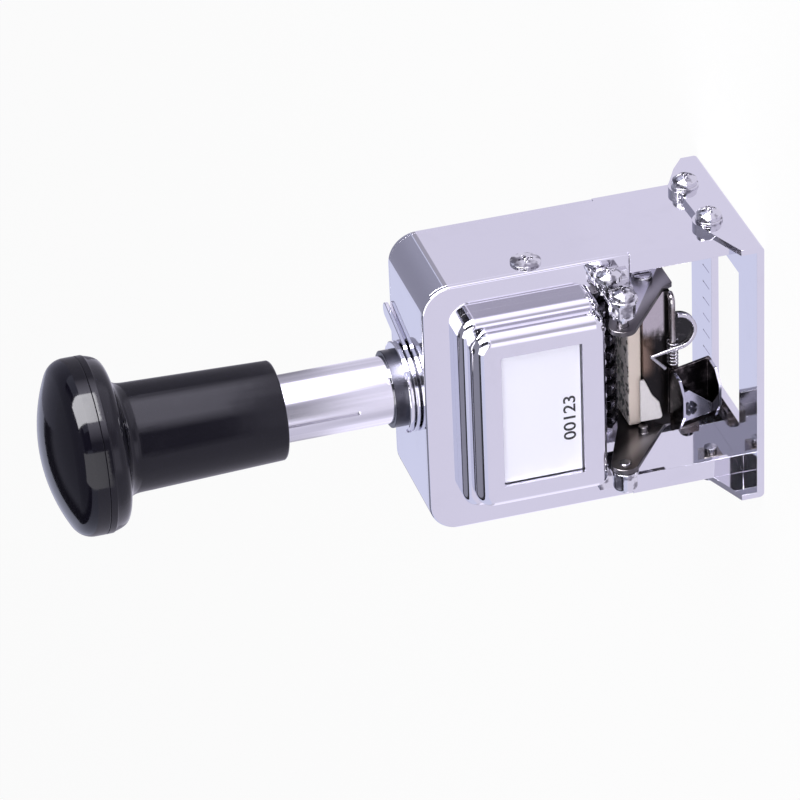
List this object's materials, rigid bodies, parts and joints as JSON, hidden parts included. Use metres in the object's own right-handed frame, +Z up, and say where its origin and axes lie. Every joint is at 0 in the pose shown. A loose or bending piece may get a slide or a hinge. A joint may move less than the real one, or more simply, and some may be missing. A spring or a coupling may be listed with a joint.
{
  "type": "numbering machine",
  "caption": "Hand numbering machine: chrome frame on an open base, sprung plunger with black knob, number wheels behind a card window, and an ink pad on swinging arms.",
  "frame": {"origin": "underside of the base plate, under the middle of the frame and the plunger's axis", "axes": "+Z up the plunger to the knob, -Y to the front with the card window, +X to the right seen from the front"},
  "size_m": [0.072, 0.05, 0.1622],
  "materials": {
    "chrome": "polished",
    "nickel": "bright nickel",
    "steel": "plain",
    "spring_steel": "bright",
    "type_metal": "machined",
    "black_plastic": "gloss",
    "white_card": "matt",
    "felt": "felt"
  },
  "bodies": {
    "frame": {"frame_shell": "chrome", "base_plate": "chrome", "base_screws": "chrome", "base_washers": "chrome", "base_nuts": "nickel", "front_cover": "chrome", "rear_cover": "chrome", "number_card": "white_card", "card_holder": "steel", "side_screws": "chrome", "pin_brackets": "steel", "cross_pin": "steel", "spring_seat": "steel", "plunger_bush": "nickel", "collar_nut": "chrome", "right_pivot_bracket": "nickel", "left_pivot_bracket": "nickel", "spring_post": "chrome", "right_pivot_stud": "chrome", "right_pivot_screw": "chrome", "left_pivot_screw": "chrome", "selector_screw": "chrome", "selector_nut": "steel"},
    "plunger": {"plunger_tube": "chrome", "tube_plug": "steel", "knob_grip": "black_plastic", "knob_cap": "black_plastic", "knob_bolt": "steel", "return_spring": "spring_steel", "carriage_yoke": "nickel", "wheel_axle": "steel", "axle_clips": "nickel", "detent_comb": "spring_steel"},
    "pawl_frame": {"pawl_arms": "nickel", "pawl_rod": "steel", "pawls": "steel"},
    "ink_arms": {"right_ink_arm": "nickel", "left_ink_arm": "nickel", "arm_studs": "nickel", "ink_tray": "nickel", "ink_pad": "felt", "pad_tab": "white_card", "spring_rod": "nickel", "small_coil": "spring_steel", "wire_clip": "nickel", "finger_tongue": "nickel"},
    "pad_latch": {"release_yoke": "nickel", "yoke_screw": "nickel"},
    "repeat_selector": {"selector_lever": "chrome", "selector_button": "black_plastic"},
    "lock": {"lock_lever": "chrome"},
    "wheel_1": {"number_wheel_1": "type_metal"},
    "wheel_2": {"number_wheel_2": "type_metal"},
    "wheel_3": {"number_wheel_3": "type_metal"},
    "wheel_4": {"number_wheel_4": "type_metal"},
    "wheel_5": {"number_wheel_5": "type_metal"},
    "wheel_6": {"number_wheel_6": "type_metal"},
    "wheel_7": {"number_wheel_7": "type_metal"},
    "wheel_8": {"number_wheel_8": "type_metal"}
  },
  "joints": [
    {"name": "plunger_press", "type": "slide", "parent": "frame", "child": "plunger", "axis": [0, 0, -1], "range_m": [0, 0.028], "stiffness_N_per_m": 500, "springref_m": -0.03, "deforming": ["return_spring"]},
    {"name": "ink_swing", "type": "hinge", "parent": "frame", "child": "ink_arms", "pos_m": [0, -0.0215, 0.033], "axis": [-1, 0, 0], "range_deg": [0, 97.3]},
    {"name": "pawl_swing", "type": "hinge", "parent": "plunger", "child": "pawl_frame", "pos_m": [0, 0, 0.0373], "axis": [-1, 0, 0], "range_deg": [0, 36.1]},
    {"name": "latch_release", "type": "hinge", "parent": "ink_arms", "child": "pad_latch", "pos_m": [0, -0.0105, 0.01766], "axis": [1, 0, 0], "range_deg": [0, 15], "stiffness_Nm_per_rad": 0.02, "springref_deg": -20.05},
    {"name": "lock_turn", "type": "hinge", "parent": "frame", "child": "lock", "pos_m": [0, 0, 0.0777], "axis": [0, 0, 1], "range_deg": [0, 35]},
    {"name": "selector_turn", "type": "hinge", "parent": "frame", "child": "repeat_selector", "pos_m": [0, 0.0197, 0.046], "axis": [0, 1, 0], "range_deg": [-35, 35]},
    {"name": "wheel_1_turn", "type": "hinge", "parent": "plunger", "child": "wheel_1", "pos_m": [0, 0, 0.0373], "axis": [1, 0, 0], "continuous": true},
    {"name": "wheel_2_turn", "type": "hinge", "parent": "plunger", "child": "wheel_2", "pos_m": [0, 0, 0.0373], "axis": [1, 0, 0], "continuous": true},
    {"name": "wheel_3_turn", "type": "hinge", "parent": "plunger", "child": "wheel_3", "pos_m": [0, 0, 0.0373], "axis": [1, 0, 0], "continuous": true},
    {"name": "wheel_4_turn", "type": "hinge", "parent": "plunger", "child": "wheel_4", "pos_m": [0, 0, 0.0373], "axis": [1, 0, 0], "continuous": true},
    {"name": "wheel_5_turn", "type": "hinge", "parent": "plunger", "child": "wheel_5", "pos_m": [0, 0, 0.0373], "axis": [1, 0, 0], "continuous": true},
    {"name": "wheel_6_turn", "type": "hinge", "parent": "plunger", "child": "wheel_6", "pos_m": [0, 0, 0.0373], "axis": [1, 0, 0], "continuous": true},
    {"name": "wheel_7_turn", "type": "hinge", "parent": "plunger", "child": "wheel_7", "pos_m": [0, 0, 0.0373], "axis": [1, 0, 0], "continuous": true},
    {"name": "wheel_8_turn", "type": "hinge", "parent": "plunger", "child": "wheel_8", "pos_m": [0, 0, 0.0373], "axis": [1, 0, 0], "continuous": true}
  ],
  "couplings": [
    {"joint": "ink_swing", "follows": "plunger_press", "rad_per_m": 60.606},
    {"joint": "pawl_swing", "follows": "plunger_press", "rad_per_m": 22.44}
  ]
}
